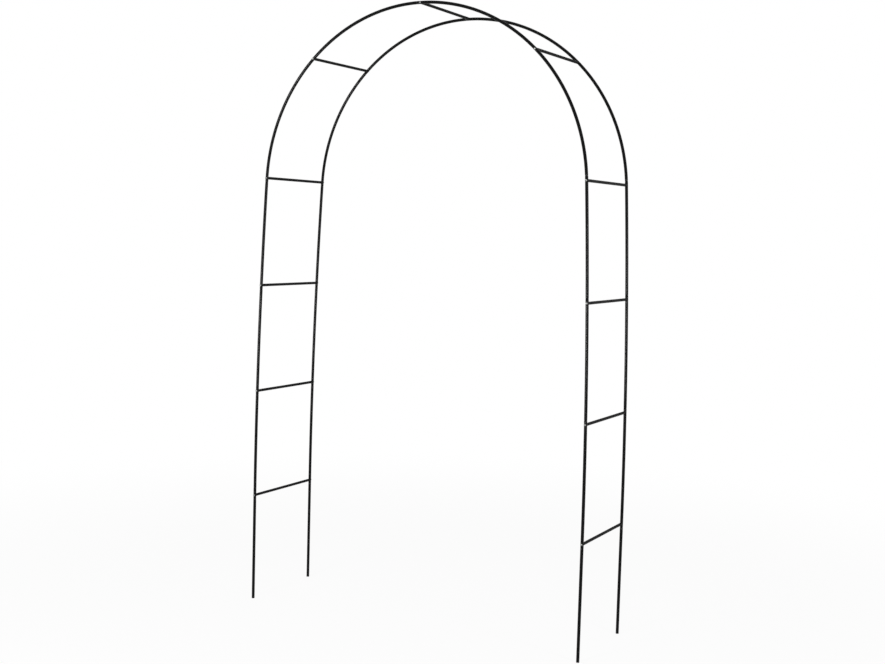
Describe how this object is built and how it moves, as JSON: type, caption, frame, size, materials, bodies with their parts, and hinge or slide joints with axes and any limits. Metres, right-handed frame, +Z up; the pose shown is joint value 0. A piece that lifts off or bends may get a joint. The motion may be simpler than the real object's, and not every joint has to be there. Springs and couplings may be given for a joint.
{
  "type": "garden arch",
  "caption": "Free-standing round-topped garden arch of thin black steel tube: two hoops joined by rungs up the sides and over the top, to walk through and train climbing plants on.",
  "frame": {"origin": "centre of the footprint between the four feet, on the ground", "axes": "+X across the opening to the right seen from the front, +Y through the arch from front to rear, +Z up"},
  "size_m": [1.4662, 0.4182, 2.4],
  "materials": {
    "powder_coated_steel": "satin black powder coat",
    "zinc_plated_steel": "zinc plated",
    "insert_steel": "plain turned steel"
  },
  "bodies": {
    "root": {"front_left_foot_tube": "powder_coated_steel", "front_left_lower_tube": "powder_coated_steel", "front_left_middle_tube": "powder_coated_steel", "front_left_upper_tube": "powder_coated_steel", "front_right_foot_tube": "powder_coated_steel", "front_right_lower_tube": "powder_coated_steel", "front_right_middle_tube": "powder_coated_steel", "front_right_upper_tube": "powder_coated_steel", "rear_left_foot_tube": "powder_coated_steel", "rear_left_lower_tube": "powder_coated_steel", "rear_left_middle_tube": "powder_coated_steel", "rear_left_upper_tube": "powder_coated_steel", "rear_right_foot_tube": "powder_coated_steel", "rear_right_lower_tube": "powder_coated_steel", "rear_right_middle_tube": "powder_coated_steel", "rear_right_upper_tube": "powder_coated_steel", "front_arch_left_lower_tube": "powder_coated_steel", "front_arch_left_upper_tube": "powder_coated_steel", "front_arch_right_upper_tube": "powder_coated_steel", "front_arch_right_lower_tube": "powder_coated_steel", "rear_arch_left_lower_tube": "powder_coated_steel", "rear_arch_left_upper_tube": "powder_coated_steel", "rear_arch_right_upper_tube": "powder_coated_steel", "rear_arch_right_lower_tube": "powder_coated_steel", "left_rung_bottom": "powder_coated_steel", "left_rung_lower": "powder_coated_steel", "left_rung_upper": "powder_coated_steel", "left_rung_spring": "powder_coated_steel", "right_rung_bottom": "powder_coated_steel", "right_rung_lower": "powder_coated_steel", "right_rung_upper": "powder_coated_steel", "right_rung_spring": "powder_coated_steel", "arch_rung_left": "powder_coated_steel", "arch_rung_crown": "powder_coated_steel", "arch_rung_right": "powder_coated_steel", "front_screws": "zinc_plated_steel", "rear_screws": "zinc_plated_steel", "front_rung_inserts": "insert_steel", "rear_rung_inserts": "insert_steel"}
  },
  "joints": []
}
